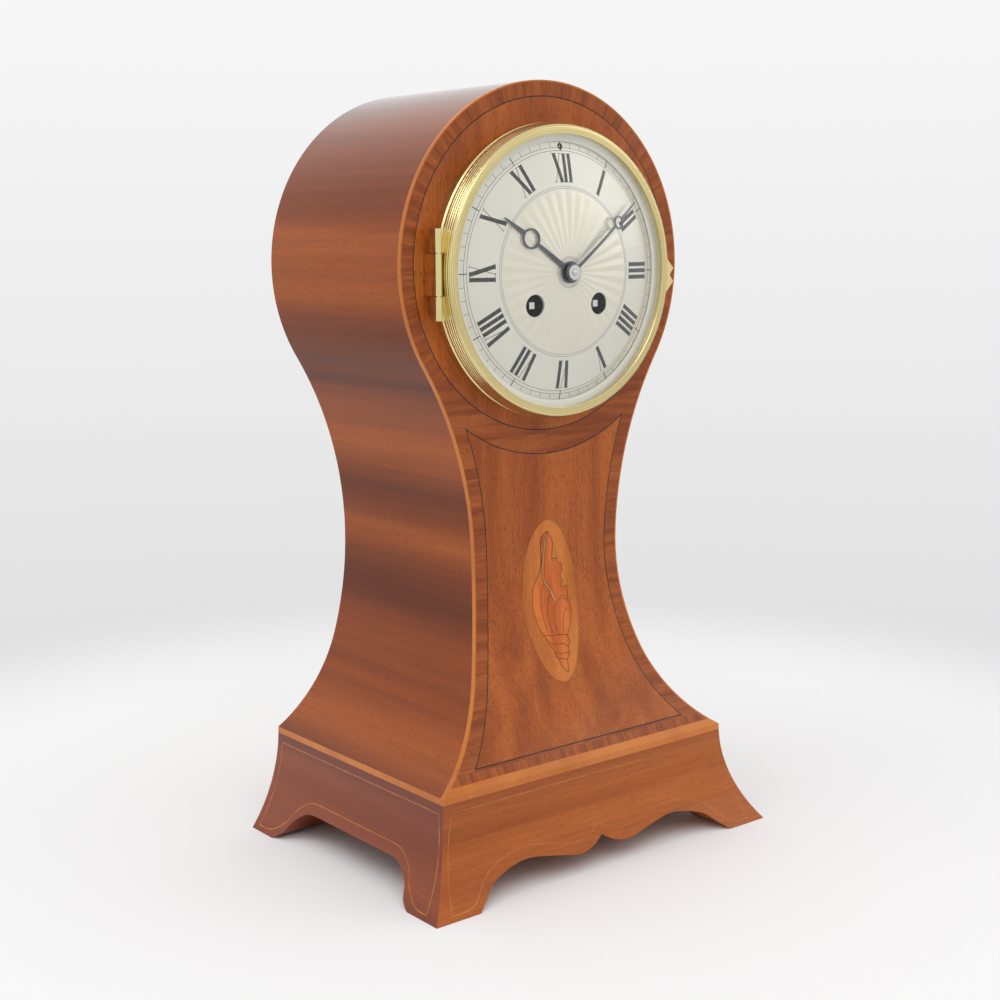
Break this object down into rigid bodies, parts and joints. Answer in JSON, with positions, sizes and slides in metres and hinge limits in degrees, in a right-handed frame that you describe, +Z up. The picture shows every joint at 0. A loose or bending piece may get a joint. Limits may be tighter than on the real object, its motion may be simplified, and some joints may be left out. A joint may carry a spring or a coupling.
{
  "type": "balloon clock",
  "caption": "Balloon-shaped wooden mantel clock on a flared bracket plinth, with a convex dial under a hinged domed glass, spring trains, pendulum and gong.",
  "frame": {"origin": "on the floor, under the middle of the clock's box", "axes": "+Z up, the dial faces -Y, +X is to the right when facing the dial"},
  "size_m": [0.206, 0.163, 0.3605],
  "materials": {
    "mahogany": "french polished",
    "field_mahogany": "french polished",
    "crossband_mahogany": "french polished",
    "plinth_mahogany": "french polished",
    "carcass_wood": "plain",
    "boxwood": "french polished",
    "ebony": "french polished",
    "shaded_ground": "french polished",
    "shell_wood": "french polished",
    "brass": "polished",
    "silvered": "silvered",
    "glass": "clear",
    "blued_steel": "blued",
    "steel": "polished",
    "movement_brass": "satin",
    "iron": "plain"
  },
  "bodies": {
    "case": {"side_veneer": "mahogany", "field_veneer": "field_mahogany", "crossbanding": "crossband_mahogany", "front_apron": "plinth_mahogany", "left_apron": "plinth_mahogany", "right_apron": "plinth_mahogany", "rear_apron": "plinth_mahogany", "carcass_wall": "carcass_wood", "front_board": "carcass_wood", "back_board": "carcass_wood", "case_floor": "carcass_wood", "box_edging": "boxwood", "plinth_edging": "boxwood", "apron_stringing": "boxwood", "ebony_lines": "ebony", "shell_ground": "shaded_ground", "shell_inlay": "shell_wood", "bezel_seat": "brass", "hinge_pins": "brass", "dial": "silvered", "front_plate": "movement_brass", "back_plate": "movement_brass", "strap_screws": "steel", "suspension_cock": "movement_brass", "gong": "blued_steel", "gong_block": "iron", "back_ring": "brass"},
    "bezel": {"bezel_ring": "brass", "sight_ring": "silvered", "bezel_glass": "glass", "bezel_catch": "brass"},
    "minute_work": {"centre_wheel": "movement_brass", "minute_hand": "blued_steel", "hand_nut": "steel"},
    "hour_work": {"hour_wheel": "movement_brass", "hour_hand": "blued_steel"},
    "motion_wheel": {"minute_wheel": "movement_brass"},
    "intermediate": {"intermediate_wheel": "movement_brass"},
    "going_drum": {"going_barrel": "movement_brass", "going_spring": "blued_steel"},
    "going_winder": {"going_arbor": "steel"},
    "going_pawl": {"going_click": "steel"},
    "third": {"third_wheel": "movement_brass"},
    "escape": {"escape_wheel": "movement_brass"},
    "pallets": {"anchor": "steel"},
    "pendulum": {"pendulum_rod": "brass", "pendulum_bob": "brass", "suspension_spring": "blued_steel"},
    "regulator": {"regulator_arbor": "steel"},
    "strike_drum": {"strike_barrel": "movement_brass", "strike_spring": "blued_steel"},
    "strike_winder": {"strike_arbor": "steel"},
    "strike_pawl": {"strike_click": "steel"},
    "strike_second": {"strike_wheel": "movement_brass"},
    "strike_pins": {"pin_wheel": "movement_brass"},
    "strike_fly": {"fly": "steel"},
    "striker": {"hammer": "steel"},
    "door": {"back_door": "brass", "back_glass": "glass"},
    "button": {"turn_button": "brass"}
  },
  "joints": [
    {"name": "bezel_hinge", "type": "hinge", "parent": "case", "child": "bezel", "pos_m": [-0.0687, -0.042, 0.2746], "axis": [0, 0, -1], "range_deg": [0, 110]},
    {"name": "minute_turn", "type": "hinge", "parent": "case", "child": "minute_work", "pos_m": [0, -0.0175, 0.2746], "axis": [0, 1, 0], "continuous": true},
    {"name": "hour_turn", "type": "hinge", "parent": "case", "child": "hour_work", "pos_m": [0, -0.0175, 0.2746], "axis": [0, 1, 0], "continuous": true},
    {"name": "motion_wheel_turn", "type": "hinge", "parent": "case", "child": "motion_wheel", "pos_m": [0.00849, -0.0175, 0.28309], "axis": [0, 1, 0], "continuous": true},
    {"name": "intermediate_turn", "type": "hinge", "parent": "case", "child": "intermediate", "pos_m": [0.01739, -0.0175, 0.28092], "axis": [0, 1, 0], "continuous": true},
    {"name": "going_barrel_turn", "type": "hinge", "parent": "case", "child": "going_drum", "pos_m": [0.0192, -0.0175, 0.26], "axis": [0, 1, 0], "continuous": true},
    {"name": "going_winding", "type": "hinge", "parent": "case", "child": "going_winder", "pos_m": [0.0192, -0.0175, 0.26], "axis": [0, 1, 0], "continuous": true},
    {"name": "going_click_lift", "type": "hinge", "parent": "case", "child": "going_pawl", "pos_m": [0.03048, -0.0175, 0.2559], "axis": [0, 1, 0], "range_deg": [0, 12]},
    {"name": "third_turn", "type": "hinge", "parent": "case", "child": "third", "pos_m": [-0.003, -0.0175, 0.29163], "axis": [0, 1, 0], "continuous": true},
    {"name": "escape_turn", "type": "hinge", "parent": "case", "child": "escape", "pos_m": [0, -0.0175, 0.3073], "axis": [0, 1, 0], "continuous": true},
    {"name": "pendulum_swing", "type": "hinge", "parent": "case", "child": "pendulum", "pos_m": [0, -0.0175, 0.3193], "axis": [0, 1, 0], "range_deg": [-4, 4]},
    {"name": "pallet_rock", "type": "hinge", "parent": "case", "child": "pallets", "pos_m": [0, -0.0175, 0.3193], "axis": [0, 1, 0], "range_deg": [-4, 4]},
    {"name": "regulator_turn", "type": "hinge", "parent": "case", "child": "regulator", "pos_m": [0, -0.0175, 0.3308], "axis": [0, 1, 0], "continuous": true},
    {"name": "strike_barrel_turn", "type": "hinge", "parent": "case", "child": "strike_drum", "pos_m": [-0.0192, -0.0175, 0.26], "axis": [0, 1, 0], "continuous": true},
    {"name": "strike_winding", "type": "hinge", "parent": "case", "child": "strike_winder", "pos_m": [-0.0192, -0.0175, 0.26], "axis": [0, 1, 0], "continuous": true},
    {"name": "strike_click_lift", "type": "hinge", "parent": "case", "child": "strike_pawl", "pos_m": [-0.03048, -0.0175, 0.2559], "axis": [0, -1, 0], "range_deg": [0, 12]},
    {"name": "strike_second_turn", "type": "hinge", "parent": "case", "child": "strike_second", "pos_m": [-0.01739, -0.0175, 0.28092], "axis": [0, 1, 0], "continuous": true},
    {"name": "pin_wheel_turn", "type": "hinge", "parent": "case", "child": "strike_pins", "pos_m": [-0.02664, -0.0175, 0.29694], "axis": [0, 1, 0], "continuous": true},
    {"name": "fly_turn", "type": "hinge", "parent": "case", "child": "strike_fly", "pos_m": [-0.0198, -0.0175, 0.30879], "axis": [0, 1, 0], "continuous": true},
    {"name": "hammer_lift", "type": "hinge", "parent": "case", "child": "striker", "pos_m": [-0.042, -0.0175, 0.2806], "axis": [0, 1, 0], "range_deg": [0, 14]},
    {"name": "door_hinge", "type": "hinge", "parent": "case", "child": "door", "pos_m": [0.0694, 0.0759, 0.2746], "axis": [0, 0, -1], "range_deg": [0, 100]},
    {"name": "button_turn", "type": "hinge", "parent": "case", "child": "button", "pos_m": [-0.0706, 0.0765, 0.2746], "axis": [0, 1, 0], "range_deg": [0, 90]}
  ],
  "couplings": [
    {"joint": "hour_turn", "follows": "minute_turn", "ratio": 0.083333},
    {"joint": "motion_wheel_turn", "follows": "minute_turn", "ratio": -0.33333},
    {"joint": "intermediate_turn", "follows": "minute_turn", "ratio": -0.15625},
    {"joint": "going_barrel_turn", "follows": "minute_turn", "ratio": 0.026042},
    {"joint": "third_turn", "follows": "minute_turn", "ratio": -12},
    {"joint": "escape_turn", "follows": "minute_turn", "ratio": 132},
    {"joint": "pallet_rock", "follows": "pendulum_swing", "ratio": 1},
    {"joint": "strike_second_turn", "follows": "pin_wheel_turn", "ratio": -0.15625},
    {"joint": "strike_barrel_turn", "follows": "pin_wheel_turn", "ratio": 0.026042},
    {"joint": "fly_turn", "follows": "pin_wheel_turn", "ratio": -8}
  ]
}
